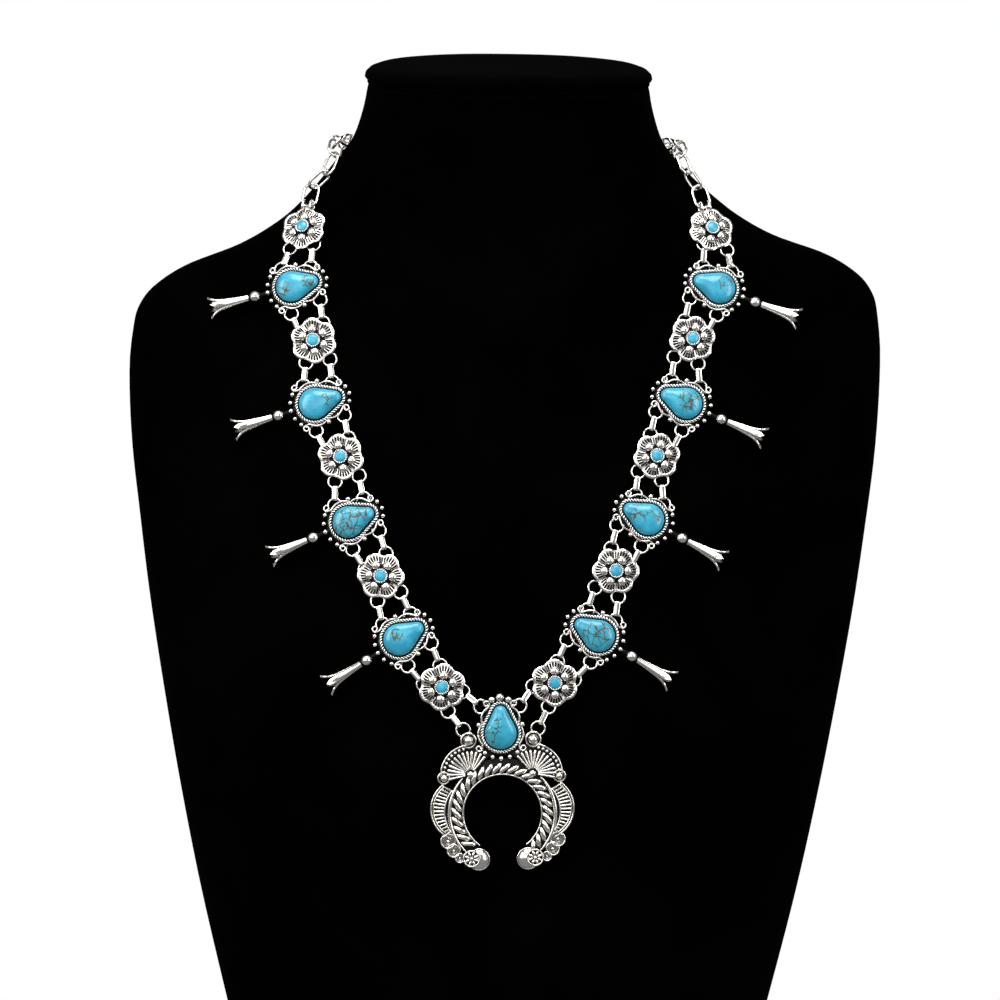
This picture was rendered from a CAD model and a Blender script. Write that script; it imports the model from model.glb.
# %% [markdown]
# # A squash blossom necklace on its velvet bust
# The necklace is a double row of cast, silver-coloured pieces: pear-shaped stones in roped settings, fluted
# flowers, trumpet-shaped blossoms and a crescent pendant called a naja. It lies on a black velvet bust.
# We start by loading the measured model. It stays where it is, and every detailed piece is made in its
# place, in the same frame: Z is up and the chest faces -Y.

# %% Load the measured model
import math

import bmesh
import bpy
import numpy as np
from mathutils import Matrix


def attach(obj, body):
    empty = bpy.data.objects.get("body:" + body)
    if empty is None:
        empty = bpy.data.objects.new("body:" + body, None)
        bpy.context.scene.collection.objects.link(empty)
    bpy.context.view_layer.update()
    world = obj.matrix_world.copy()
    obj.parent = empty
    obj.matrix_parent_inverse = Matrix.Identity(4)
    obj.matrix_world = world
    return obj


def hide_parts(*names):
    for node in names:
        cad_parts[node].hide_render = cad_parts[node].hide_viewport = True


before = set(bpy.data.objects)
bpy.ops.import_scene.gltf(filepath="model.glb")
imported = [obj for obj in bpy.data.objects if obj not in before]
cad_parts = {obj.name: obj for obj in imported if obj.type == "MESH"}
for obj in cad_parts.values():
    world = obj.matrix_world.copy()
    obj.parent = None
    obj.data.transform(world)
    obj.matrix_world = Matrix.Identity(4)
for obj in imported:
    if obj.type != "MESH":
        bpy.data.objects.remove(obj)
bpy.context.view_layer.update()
MM = 0.001

# %% [markdown]
# ## The camera
# A product photograph is taken from far away with a long lens, so that the near parts don't look too big. We
# place the camera 1.5 metres off, four degrees above the middle of the bust, and choose the lens that makes
# one pixel 0.44 mm wide there. It is rolled by less than a degree, as a hand-set tripod often is.

# %% Camera
PICTURE_PX = 1000
CAMERA_DISTANCE = 1500.0
CAMERA_RISE = math.radians(4)
CAMERA_ROLL = math.radians(0.75)
MM_PER_PX = 0.44
PICTURE_MIDDLE = np.array([0.0, 0.0, 235.8])
AXIS_PX = 3
SENSOR = 36.0
FARTHEST_SEEN = 50


def add_object(name, data, columns=None):
    """Puts an object into the scene. Its columns are its X, Y and Z ways and its place in metres."""
    obj = bpy.data.objects.new(name, data)
    bpy.context.scene.collection.objects.link(obj)
    if columns is not None:
        obj.matrix_world = Matrix([*np.column_stack(columns).tolist(), [0, 0, 0, 1]])
    return obj


def add_camera():
    data = bpy.data.cameras.new("camera")
    data.sensor_width = SENSOR
    data.lens = SENSOR * CAMERA_DISTANCE / MM_PER_PX / PICTURE_PX
    data.shift_x = -AXIS_PX / PICTURE_PX
    data.clip_end = FARTHEST_SEEN
    back = np.array([0.0, -math.cos(CAMERA_RISE), math.sin(CAMERA_RISE)])
    level = np.array([1.0, 0.0, 0.0])
    upright = np.cross(back, level)
    c, s = math.cos(CAMERA_ROLL), math.sin(CAMERA_ROLL)
    place = (PICTURE_MIDDLE + CAMERA_DISTANCE * back) * MM
    columns = [c * level + s * upright, c * upright - s * level, back, place]
    bpy.context.scene.camera = add_object("camera", data, columns)
    return data


print("lens", round(add_camera().lens, 1), "mm")

# %% [markdown]
# ## Frames on the chest
# Each piece is drawn flat, in millimetres, round its own middle: local X runs outwards along the necklace's
# width and local Z points off the velvet. A frame is the 4 x 4 matrix that lays the piece on the chest.
# The chest is a table of squared ovals, joined by smooth curves, so its height and slope are known anywhere.

# %% Bust sections and frames
BUST_H, SHOULDER_W, CHEST_D, BACK_D = 410.0, 329.0, 67.0, 61.0
SECTIONS = np.array([
    [0.000, 0.705, 0.985, 0.950], [0.146, 0.793, 1.000, 0.984], [0.254, 0.849, 0.993, 1.000],
    [0.361, 0.897, 0.963, 1.000], [0.468, 0.940, 0.888, 0.984], [0.554, 0.968, 0.806, 0.951],
    [0.639, 0.992, 0.694, 0.918], [0.724, 1.000, 0.575, 0.852], [0.768, 0.990, 0.515, 0.803],
    [0.790, 0.976, 0.482, 0.779], [0.811, 0.936, 0.448, 0.754], [0.833, 0.850, 0.418, 0.738],
    [0.854, 0.711, 0.393, 0.730], [0.876, 0.614, 0.378, 0.738], [0.898, 0.546, 0.378, 0.754],
    [0.923, 0.485, 0.397, 0.787], [0.944, 0.441, 0.433, 0.820], [0.958, 0.414, 0.470, 0.844],
    [0.983, 0.383, 0.537, 0.885], [1.000, 0.372, 0.590, 0.920]])
WIDTH, CHEST, BACK = 1, 2, 3
SQUARE = 2.4
SHOULDER_RISE, SHOULDER_UP, SHOULDER_DOWN = 4.9, (0.55, 0.79), (0.885, 0.95)
UP = np.array([0.0, 0.0, 1.0])


def section(share, column):
    """Value of one column of the table at this share of the height, on smooth curves between its rows."""
    rows = SECTIONS[:, 0]
    values = SECTIONS[:, column]
    above = np.minimum(np.arange(len(rows)) + 1, len(rows) - 1)
    below = np.maximum(np.arange(len(rows)) - 1, 0)
    slopes = (values[above] - values[below]) / (rows[above] - rows[below])
    i = np.clip(np.searchsorted(rows, share, side="right") - 1, 0, len(rows) - 2)
    step = rows[i + 1] - rows[i]
    t = (share - rows[i]) / step
    return ((2 * t**3 - 3 * t**2 + 1) * values[i] + (t**3 - 2 * t**2 + t) * step * slopes[i]
            + (3 * t**2 - 2 * t**3) * values[i + 1] + (t**3 - t**2) * step * slopes[i + 1])


print("half way up, the bust has", round(float(section(0.5, WIDTH)), 3), "of its full width")


# %% Points on the bust
def width_at(z):
    return section(z / BUST_H, WIDTH) * SHOULDER_W / 2


def chest_at(z):
    return section(z / BUST_H, CHEST) * CHEST_D


def back_at(z):
    return section(z / BUST_H, BACK) * BACK_D


def oval_power(v):
    return np.sign(v) * np.abs(v) ** (2 / SQUARE)


def oval_point(z, angle):
    """Point of the bust at this height and angle in degrees, where 0 is +X and -90 is the chest."""
    a = np.radians(angle)
    depth = np.where(np.sin(a) < 0, chest_at(z), back_at(z))
    return np.stack([width_at(z) * oval_power(np.cos(a)), depth * oval_power(np.sin(a)), z + 0 * a], -1)


def rise_between(value, low, high):
    """0 below low, 1 above high, and smooth in between."""
    t = np.clip((value - low) / (high - low), 0, 1)
    return t * t * (3 - 2 * t)


def shoulder_shear(z):
    """Slope by which the sections rise to the right: one shoulder stands higher."""
    share = z / BUST_H
    return (2 * SHOULDER_RISE / SHOULDER_W * rise_between(share, *SHOULDER_UP)
            * (1 - rise_between(share, *SHOULDER_DOWN)))


def sheared(points):
    return points + points[..., :1] * shoulder_shear(points[..., 2:]) * UP


def front_y(x, z):
    low = z - x * shoulder_shear(z)
    return -chest_at(low) * max(1 - (abs(x) / width_at(low)) ** SQUARE, 0.0001) ** (1 / SQUARE)


print("the breastbone is at", round(float(front_y(0, BUST_H / 2)), 1), "mm half way up")


# %% Frames from a place and two ways
def unit(v):
    v = np.asarray(v, float)
    return v / np.linalg.norm(v, axis=-1, keepdims=True)


def flat_part(v, n):
    return v - np.dot(v, n) * n


def axes(origin, x, z):
    matrix = np.eye(4)
    matrix[:3, :4] = np.column_stack([x, np.cross(z, x), z, origin])
    return matrix


def surface_frame(origin, along, out):
    out = unit(out)
    return axes(origin, unit(flat_part(np.asarray(along, float), out)), out)


def way_frame(origin, along, out):
    along = unit(along)
    return axes(origin, along, unit(flat_part(np.asarray(out, float), along)))


def to_world(matrix, p):
    return np.asarray(p, float) @ matrix[:3, :3].T + matrix[:3, 3]


def out_of(matrix):
    return matrix[:3, 2]


def chest_frame(x, z, along, reach, lift):
    slope_x = (front_y(x + reach, z) - front_y(x - reach, z)) / (2 * reach)
    slope_z = (front_y(x, z + reach) - front_y(x, z - reach)) / (2 * reach)
    out = unit([slope_x, -1, slope_z])
    return surface_frame(np.array([x, front_y(x, z), z]) + lift * out, along, out)


print("chest at the throat", round(float(chest_at(BUST_H)), 1), "mm deep")

# %% [markdown]
# ## Where each piece lies
# A necklace laid by hand is never quite even, so each side has its own short list of stations: how far the
# piece lies from the middle, how high, how much its outer end falls, and how far it is lifted off the velvet.
# The last station of each side is a flower that is linked to the naja.

# %% Stations of the necklace
SIDES = {"left": -1, "right": 1}
ROUTE = {
    1: [[87.2, 353.3, -15, 0.9], [88.9, 330, 20, 0.4], [79.7, 307.7, 16, 0], [75, 281.3, 23, 0],
        [64.8, 258, 18, 0], [59.2, 232.6, 28, 0], [47.8, 209.9, 23, 0], [38.9, 184, 31, 0],
        [22.7, 163, 44, 0]],
    -1: [[86.2, 351.6, -8, 0.9], [89, 328, 14.5, 0.4], [81.5, 304.8, 12, 0], [78.1, 278.9, 18, 0],
         [68.8, 255.8, 17, 0], [62.8, 229.7, 24, 0], [50.9, 206.5, 22, 0], [40.7, 181.4, 33, 0],
         [24.5, 160.6, 44, 0]]}
NAJA_X, NAJA_Z, NAJA_LEAN = 1.5, 108.0, math.radians(2)
SETTING_REACH, NAJA_REACH = 10.0, 30.0
RING_LIFT, NAJA_LIFT = 2.2, 2.6


def station(side, i):
    x, z, lean, lift = ROUTE[side][i]
    lean = math.radians(lean)
    way = [side * math.cos(lean), 0, -math.sin(lean)]
    return chest_frame(side * x, z, way, SETTING_REACH, lift + RING_LIFT)


def flower_frame(side, i):
    return station(side, 2 * i - 2)


def setting_frame(side, i):
    return station(side, 2 * i - 1)


naja_way = [math.cos(NAJA_LEAN), 0, math.sin(NAJA_LEAN)]
naja_frame = chest_frame(NAJA_X, NAJA_Z, naja_way, NAJA_REACH, NAJA_LIFT)
print("naja stands", round(float(-naja_frame[1, 3]), 1), "mm in front of the middle plane")

# %% [markdown]
# ## One way to make every shape
# Cast silver is made of wires, balls, plates and domes. All of them can be drawn as a grid of points: rows
# across the shape, joined by four-sided faces. We could use Blender's curves and primitives, but grids that
# are worked out with numpy are quick, and one piece can hold hundreds of them. Each point also carries a
# number called patina, which later tells the material where the black antiquing stays in the recesses.

# %% A piece as a pile of grids
class Piece:
    """Points, faces and patina of one piece, in its own millimetres."""

    def __init__(self):
        self.points, self.faces, self.patina, self.count = [], [], [], 0

    def grid(self, rows, along=False, patina=0.0):
        """Rows of points, each closed. The ends are capped, unless the rows close along as well."""
        rows = np.asarray(rows, float)
        r, c = rows.shape[:2]
        i, j = np.meshgrid(np.arange(r if along else r - 1), np.arange(c), indexing="ij")
        ni, nj = (i + 1) % r, (j + 1) % c
        quads = np.stack([i * c + j, i * c + nj, ni * c + nj, ni * c + j], -1).reshape(-1, 4) + self.count
        self.faces += quads.tolist()
        if not along:
            self.faces.append((np.arange(c)[::-1] + self.count).tolist())
            self.faces.append((np.arange(c) + self.count + (r - 1) * c).tolist())
        self.points.append(rows.reshape(-1, 3))
        self.patina.append(np.broadcast_to(patina, (r, c)).reshape(-1))
        self.count += r * c

    def add(self, other, matrix=None):
        points = np.concatenate(other.points)
        self.points.append(points if matrix is None else to_world(matrix, points))
        self.faces += [[index + self.count for index in face] for face in other.faces]
        self.patina.append(np.concatenate(other.patina))
        self.count += len(points)


print("a new piece holds", Piece().count, "points")


# %% Turns, shifts and mirrors
def turn(degrees, about="z"):
    c, s = math.cos(math.radians(degrees)), math.sin(math.radians(degrees))
    matrix = np.eye(4)
    a, b = {"x": (1, 2), "y": (2, 0), "z": (0, 1)}[about]
    matrix[a, a], matrix[a, b], matrix[b, a], matrix[b, b] = c, -s, s, c
    return matrix


def shift(x, y, z=0.0):
    matrix = np.eye(4)
    matrix[:3, 3] = x, y, z
    return matrix


def mirror(x=1, y=1):
    return np.diag([x, y, 1.0, 1.0])


print("a turn by 90 degrees takes X to", to_world(turn(90), [1, 0, 0]).round(3))

# %% [markdown]
# ## Wires, ropes, balls, plates and domes
# A wire is a circle swept along a path. A rope is two wires that wind round one closed path. A ball and a
# dome are circles stacked along their axis. A plate is an outline with a small bevel, because a cast edge is
# never sharp, and a bevel is what catches the light. Small shapes that repeat round a middle are spokes.

# %% Arcs and wires
END_DOME = np.radians([78, 52, 26])


def polar(r, a, z=0.0, centre=(0, 0)):
    """Points at distances r and angles a in radians from a centre."""
    parts = np.broadcast_arrays(centre[0] + r * np.cos(a), centre[1] + r * np.sin(a), z)
    return np.column_stack(parts)


def circle(r, steps, start=0.0, stop=360.0, centre=(0, 0), z=0.0):
    """Points on an arc, without the last one when the arc is a full circle."""
    full = abs(stop - start) >= 360
    a = np.radians(start + (stop - start) * np.arange(steps) / (steps if full else steps - 1))
    return polar(r, a, z, centre)


def ways(path, closed, up):
    """Unit ways along, across and up from a path, at each of its points."""
    if closed:
        ahead, behind = np.roll(path, -1, 0), np.roll(path, 1, 0)
    else:
        ahead, behind = np.vstack([path[1:], path[-1:]]), np.vstack([path[:1], path[:-1]])
    along = unit(ahead - behind)
    across = unit(np.cross(up, along))
    return along, across, np.cross(along, across)


def tube(piece, path, radius, sides=8, closed=False, up=UP, patina=0.0, squash=1.0):
    """A round wire along a path. Its ends are domed, and squash flattens it along the way up."""
    path = np.asarray(path, float)
    radius = np.broadcast_to(radius, len(path)).astype(float)
    along, across, rise = ways(path, closed, up)
    if not closed:
        first = [path[0] - along[0] * radius[0] * math.sin(a) for a in END_DOME]
        last = [path[-1] + along[-1] * radius[-1] * math.sin(a) for a in END_DOME[::-1]]
        path = np.vstack([first, path, last])
        ends = np.cos(END_DOME)
        radius = np.concatenate([radius[0] * ends, radius, radius[-1] * ends[::-1]])
        pad = ((len(END_DOME), len(END_DOME)), (0, 0))
        across, rise = np.pad(across, pad, "edge"), np.pad(rise, pad, "edge")
    a = np.arange(sides) * 2 * np.pi / sides
    ring = np.cos(a)[None, :, None] * across[:, None] + squash * np.sin(a)[None, :, None] * rise[:, None]
    piece.grid(path[:, None] + radius[:, None, None] * ring, along=closed, patina=patina)


print("a circle of 8 points spans", np.ptp(circle(1, 8), axis=0).round(3))


# %% Even steps and ropes
def resample(path, step, closed=False):
    """The same path with its points at even steps."""
    path = np.asarray(path, float)
    full = np.vstack([path, path[:1]]) if closed else path
    run = np.concatenate([[0], np.cumsum(np.linalg.norm(np.diff(full, axis=0), axis=1))])
    count = max(int(round(run[-1] / step)), 3)
    places = np.arange(count) * run[-1] / count if closed else np.linspace(0, run[-1], count + 1)
    return np.column_stack([np.interp(places, run, full[:, k]) for k in range(3)]), run[-1]


def rope(piece, path, strand_r, pitch, steps=10, sides=8):
    """Two strands that wind round a closed path, one full turn to each pitch."""
    path, length = resample(path, pitch / steps, closed=True)
    _, across, rise = ways(path, True, UP)
    spin = 2 * np.pi * round(length / pitch) * np.arange(len(path)) / len(path)
    for half_turn in (0, np.pi):
        a = (spin + half_turn)[:, None]
        turned_in = 1 - rise_between(np.cos(a - np.arange(sides) * 2 * np.pi / sides), 0.15, 0.6)
        strand_path = path + strand_r * (np.cos(a) * across + np.sin(a) * rise)
        tube(piece, strand_path, strand_r, sides, closed=True, patina=turned_in)


test = Piece()
rope(test, circle(10, 90), strand_r=0.4, pitch=2.6)
print("a ring of rope has", test.count, "points")


# %% Balls, turned shapes, plates and spokes
def ball(piece, centre, r, flat=1.0, columns=14):
    """A round granule. It is flattened along Z by flat."""
    rise = np.radians(np.linspace(-80, 80, columns // 2 + 1))
    lathe(piece, [[r * math.cos(a), flat * r * math.sin(a)] for a in rise], centre, columns)


def lathe(piece, profile, centre=(0, 0, 0), columns=32, patina=0.0):
    """A profile of radius and height, turned round the local Z axis through centre."""
    rows = [circle(r, columns, z=z) for r, z in profile]
    patina = np.asarray(patina, float)
    piece.grid(np.array(rows) + np.asarray(centre, float), patina=patina[:, None] if patina.ndim else patina)


def outset(outline, distance):
    """A closed flat outline, moved outwards by a distance. It runs counter-clockwise."""
    edge = np.roll(outline, -1, 0) - np.roll(outline, 1, 0)
    normal = unit(np.column_stack([edge[:, 1], -edge[:, 0]]))
    return outline[:, :2] + distance * normal


def lift(outline, z):
    return np.column_stack([outline[:, :2], np.full(len(outline), z)])


def plate(piece, outline, low, high, bevel=0.12, patina=0.0):
    outline = np.asarray(outline, float)
    piece.grid([lift(outset(outline, -bevel), low), lift(outline, low + bevel), lift(outline, high - bevel),
                lift(outset(outline, -bevel), high)], patina=patina)


def strip(piece, inner, outer, low, high, patina=0.0, bevel=0.08):
    """A flat band between two outlines with equally many points, closed round its section."""
    a, b = np.asarray(inner, float), np.asarray(outer, float)
    way = unit(b[:, :2] - a[:, :2]) * bevel
    rows = [lift(a, low), lift(a, high - bevel), lift(a[:, :2] + way, high),
            lift(b[:, :2] - way, high), lift(b, high - bevel), lift(b, low)]
    piece.grid(np.stack(rows), along=True, patina=patina)


def spokes(piece, one, centre, angles):
    """The same small shape, turned to each of the angles round a centre."""
    for angle in angles:
        piece.add(one, shift(*centre) @ turn(angle))


test = Piece()
ball(test, (0, 0, 0), 1)
print("a granule has", test.count, "points")

# %% [markdown]
# ## From a piece to an object
# Blender stores a mesh in metres, so the millimetres are changed in one place only. Faces are shaded smooth,
# and edges sharper than a set angle stay crisp. Each object replaces the plain solid of the same name, rides
# on the fixed frame, and names the finish that it takes.

# %% Make objects
CRISP_ANGLE = math.radians(50)
total = {"faces": 0, "pieces": 0}


def make(piece, name, finish, matrix=None, crisp=CRISP_ANGLE, places=None):
    """Turns a piece into an object that stands for the node of the same name."""
    local = np.concatenate(piece.points)
    world = local if matrix is None else to_world(matrix, local)
    mesh = bpy.data.meshes.new(name + "_detail")
    mesh.from_pydata((world * MM).tolist(), [], piece.faces)
    mesh.attributes.new("patina", "FLOAT", "POINT").data.foreach_set("value", np.concatenate(piece.patina))
    if places is not None:
        mesh.attributes.new("place", "FLOAT_VECTOR", "POINT").data.foreach_set("vector", places.ravel())
    turned = bmesh.new()
    turned.from_mesh(mesh)
    bmesh.ops.recalc_face_normals(turned, faces=turned.faces)
    turned.to_mesh(mesh)
    turned.free()
    mesh.shade_smooth()
    mesh.set_sharp_from_angle(angle=crisp)
    obj = add_object(name + "_detail", mesh)
    mesh.materials.append(FINISHES[finish])
    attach(obj, "root")
    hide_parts(name)
    total["faces"] += sum(len(face) - 2 for face in piece.faces)
    total["pieces"] += 1
    return obj


print("edges over", round(math.degrees(CRISP_ANGLE)), "degrees stay crisp")


# %% Make a numbered series
def make_series(build, kind, count, place, crisp=CRISP_ANGLE):
    """The silver pieces of one kind, numbered down each side."""
    for hand, side in SIDES.items():
        for i in range(1, count + 1):
            make(build(side, i), f"{kind}_{hand}_{i}", "antique_silver", place(side, i), crisp)
    print("with each", kind, total["faces"], "triangles")


print("sides:", sorted(SIDES))

# %% [markdown]
# ## Writing shaders as sums
# A material is a web of nodes, and its arithmetic is easier to read as Python. The Channel class wraps one
# socket. Adding or multiplying two channels makes a Math node, and 1 - mask works because the reflected
# operators are there too. Colours don't go through Math nodes, which would turn them grey: they are mixed.

# %% A small class for node sockets
class Channel:
    """One output socket, with arithmetic."""

    def __init__(self, paint, socket):
        self.paint, self.socket = paint, socket

    def maths(self, operation, first, second=0.0):
        return self.paint.add("ShaderNodeMath", {"operation": operation}, {0: first, 1: second})

    def __add__(self, other):
        return self.maths("ADD", self, other)

    def __radd__(self, other):
        return self.maths("ADD", other, self)

    def __sub__(self, other):
        return self.maths("SUBTRACT", self, other)

    def __rsub__(self, other):
        return self.maths("SUBTRACT", other, self)

    def __mul__(self, other):
        return self.maths("MULTIPLY", self, other)

    def __rmul__(self, other):
        return self.maths("MULTIPLY", other, self)

    def larger(self, other):
        return self.maths("MAXIMUM", self, other)

    def between(self, low, high):
        """0 below low, 1 above high, and smooth in between."""
        return self.paint.add("ShaderNodeMapRange", {"interpolation_type": "SMOOTHSTEP"},
                              {"Value": self, "From Min": low, "From Max": high})


print("reflected operators:", [name for name in vars(Channel) if name.startswith("__r")])


# %% A class for a whole node tree
class Paint:
    """The nodes of one material, or of the world, and the shader that they feed."""

    def __init__(self, owner, shader="Principled BSDF", **uniform):
        self.owner = owner
        owner.use_nodes = True
        self.nodes, self.links = owner.node_tree.nodes, owner.node_tree.links
        self.shader = self.nodes[shader]
        for socket, value in uniform.items():
            self.feed(socket.replace("_", " ").title().replace("Ior", "IOR"), value)

    def add(self, kind, settings, sockets, output=0):
        node = self.nodes.new(kind)
        for key, value in settings.items():
            setattr(node, key, value)
        for key, value in sockets.items():
            self.put(node.inputs[key], value)
        return Channel(self, node.outputs[output])

    def put(self, socket, value):
        if isinstance(value, Channel):
            self.links.new(value.socket, socket)
        else:
            socket.default_value = value

    def feed(self, socket, value):
        self.put(self.shader.inputs[socket], value)

    def mix(self, factor, a, b):
        colours = [c if isinstance(c, Channel) else (*c, 1.0) for c in (a, b)]
        return self.add("ShaderNodeMix", {"data_type": "RGBA"}, {0: factor, 6: colours[0], 7: colours[1]}, 2)

    def place(self):
        return self.add("ShaderNodeTexCoord", {}, {}, "Object")

    def attribute(self, name, output="Fac"):
        return self.add("ShaderNodeAttribute", {"attribute_name": name}, {}, output)

    def noise(self, where, scale, detail=3.0, rough=0.5, warp=0.0):
        return self.add("ShaderNodeTexNoise", {}, {"Vector": where, "Scale": scale, "Detail": detail,
                                                   "Roughness": rough, "Distortion": warp})

    def bump(self, height, strength, distance):
        self.feed("Normal", self.add("ShaderNodeBump", {}, {"Height": height, "Strength": strength,
                                                            "Distance": distance}))


print("helpers:", [name for name in vars(Paint) if not name.startswith("_")])

# %% [markdown]
# ## Antiqued silver
# The castings are plated in a bright, slightly warm silver tone, dipped black and then polished, so that the
# high places shine and the recesses stay black. Two masks find the recesses: the patina number that each
# grid carries, and an Ambient Occlusion node, which looks a millimetre or so round each point. Fine noise
# makes the black patchy and the polish uneven, as on the real thing.

# %% Silver material
SILVER = (0.90, 0.87, 0.82)
SILVER_WORN = (0.68, 0.64, 0.59)
BLACKENED = (0.006, 0.005, 0.005)
RECESS_REACH, GRAIN_HEIGHT = 1.2 * MM, 0.05 * MM
PATCH_SCALE, FINE_SCALE = 900, 4200


def silver_finish():
    paint = Paint(bpy.data.materials.new("antique_silver_cast"), specular_ior_level=0.1)
    where = paint.place()
    patches = paint.noise(where, PATCH_SCALE, 4)
    fine = paint.noise(where, FINE_SCALE, 2)
    open_sky = paint.add("ShaderNodeAmbientOcclusion", {"samples": 6, "only_local": True},
                         {"Distance": RECESS_REACH}, "AO")
    recess = 1 - (open_sky + (patches - 0.5) * 0.25).between(0.34, 0.62)
    black = recess.larger(paint.attribute("patina") * (0.7 + 0.6 * patches)).between(0.25, 0.75)
    metal = paint.mix(patches.between(0.45, 0.75), SILVER, SILVER_WORN)
    paint.feed("Base Color", paint.mix(black, metal, BLACKENED))
    paint.feed("Metallic", 1 - black * 0.85)
    paint.feed("Roughness", 0.13 + 0.10 * patches + 0.35 * black)
    paint.bump(patches + 0.35 * fine, 0.35, GRAIN_HEIGHT)
    return paint.owner


FINISHES = {"antique_silver": silver_finish()}
print("silver has", len(FINISHES["antique_silver"].node_tree.nodes), "nodes")

# %% [markdown]
# ## Turquoise
# The stones are sky blue, a little greener here and there, and crossed by a brown web called the matrix. A
# Voronoi texture's distance to its cell edges gives such a web once its coordinates are pushed about by
# noise. Each stone carries its own place in the pattern and its own share of web, because some are clean.

# %% Turquoise material
BLUE_LIGHT = (0.030, 0.350, 0.500)
BLUE_DEEP = (0.018, 0.250, 0.390)
GREENISH = (0.045, 0.260, 0.260)
MATRIX_BROWN = (0.070, 0.045, 0.022)
MATRIX_DARK = (0.018, 0.014, 0.010)
WEB_SCALE, WEB_PUSH, PUSH_SCALE = 0.26, 3.0, 0.35
CLOUD_SCALE, BLUE_SCALE, MOTTLE_SCALE = 0.2, 0.22, 1.1
WEB_DEPTH = 0.06 * MM


def turquoise_finish():
    paint = Paint(bpy.data.materials.new("turquoise_polished"), coat_weight=0.4, coat_roughness=0.14,
                  ior=1.45)
    where = paint.attribute("place", "Vector")
    share = paint.attribute("patina")
    push = paint.add("ShaderNodeTexNoise", {}, {"Vector": where, "Scale": PUSH_SCALE, "Detail": 4.0}, "Color")
    pushed = paint.add("ShaderNodeVectorMath", {"operation": "MULTIPLY_ADD"},
                       {0: push, 1: (WEB_PUSH, WEB_PUSH, WEB_PUSH), 2: where})
    cells = paint.add("ShaderNodeTexVoronoi", {"feature": "DISTANCE_TO_EDGE"},
                      {"Vector": pushed, "Scale": WEB_SCALE})
    cloud = paint.noise(where, CLOUD_SCALE, 3)
    mottle = paint.noise(where, MOTTLE_SCALE, 5, 0.65)
    shown = (share + (cloud - 0.5) * 0.8).between(0.05, 0.30)
    web = (1 - (cells + (mottle - 0.5) * 0.07).between(0.012, 0.075)) * shown
    web = web.larger((mottle * 0.7 + share * 0.5).between(0.72, 0.86))
    blue = paint.mix(paint.noise(where, BLUE_SCALE, 3).between(0.35, 0.7), BLUE_LIGHT, BLUE_DEEP)
    blue = paint.mix(shown * cloud.between(0.35, 0.7) * 0.5, blue, GREENISH)
    blue = paint.mix(web.between(0.02, 0.4) * 0.7, blue, GREENISH)
    brown = paint.mix(mottle.between(0.4, 0.6), MATRIX_BROWN, MATRIX_DARK)
    paint.feed("Base Color", paint.mix(web.between(0.2, 0.75) * 0.9, blue, brown))
    paint.feed("Roughness", 0.28 + 0.25 * web + 0.06 * mottle)
    paint.bump(mottle * 0.5 - web, 0.35, WEB_DEPTH)
    return paint.owner


FINISHES["turquoise"] = turquoise_finish()
print("turquoise has", len(FINISHES["turquoise"].node_tree.nodes), "nodes")

# %% [markdown]
# ## Velvet
# Velvet is a short pile of fibres that swallows light seen end on and glows faintly at its edges. The
# shader's sheen does that glow. The colour is nearly black, with soft brushed patches, and a fine noise bump
# stands for the pile.

# %% Velvet material
VELVET_DARK = (0.0002, 0.0002, 0.0002)
VELVET_BRUSHED = (0.0007, 0.0008, 0.0006)
BRUSH_SCALE, NAP_SCALE, PILE_SCALE = 14, 900, 2600
PILE_HEIGHT = 0.25 * MM


def velvet_finish():
    paint = Paint(bpy.data.materials.new("velvet_black"), sheen_weight=0.004, sheen_roughness=0.35,
                  specular_ior_level=0.0)
    where = paint.place()
    brushed = paint.noise(where, BRUSH_SCALE, 4, 0.55, 0.6)
    pile = paint.noise(where, PILE_SCALE, 2)
    lighter = (brushed + 0.3 * pile).between(0.5, 0.95)
    paint.feed("Base Color", paint.mix(lighter, VELVET_DARK, VELVET_BRUSHED))
    paint.feed("Roughness", 0.86 + 0.12 * pile)
    paint.bump(pile + 0.5 * paint.noise(where, NAP_SCALE, 2), 0.6, PILE_HEIGHT)
    return paint.owner


FINISHES["velvet"] = velvet_finish()
print("finishes:", sorted(FINISHES))

# %% [markdown]
# ## The bust
# The real bust is a moulded shell under velvet, with a flat base and a padded oval cap on the slanted neck.
# Its surface is the same table of ovals that carries the necklace, only with many more points. The neck's
# top falls forward, so the rings above the throat rise towards the nape.

# %% Bust
BUST_AROUND = 180
NECK_SLANT_FROM = 0.958
CAP_TILT = math.radians(10)
CAP_T, CAP_GAP = 8.0, 0.3
BUST_SHARES = np.concatenate([[0.0], np.linspace(0.004, 0.75, 46), np.linspace(0.757, 1.0, 66)])
BASE_BEVEL = 0.994


def top_rise(points, z):
    t = max(z / BUST_H - NECK_SLANT_FROM, 0) / (1 - NECK_SLANT_FROM)
    return t * t * (3 - 2 * t) * math.tan(CAP_TILT) * (points[:, 1] + chest_at(BUST_H))


def bust_ring(z):
    ring_points = oval_point(z, np.arange(BUST_AROUND) * 360 / BUST_AROUND)
    return sheared(ring_points) + top_rise(ring_points, z)[:, None] * UP


def bust():
    piece = Piece()
    rows = [bust_ring(z) for z in BUST_SHARES * BUST_H]
    rows.insert(0, rows[0] * [BASE_BEVEL, BASE_BEVEL, 1])
    piece.grid(rows)
    return piece


print("the bust has", len(BUST_SHARES), "rings of", BUST_AROUND, "points")

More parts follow.
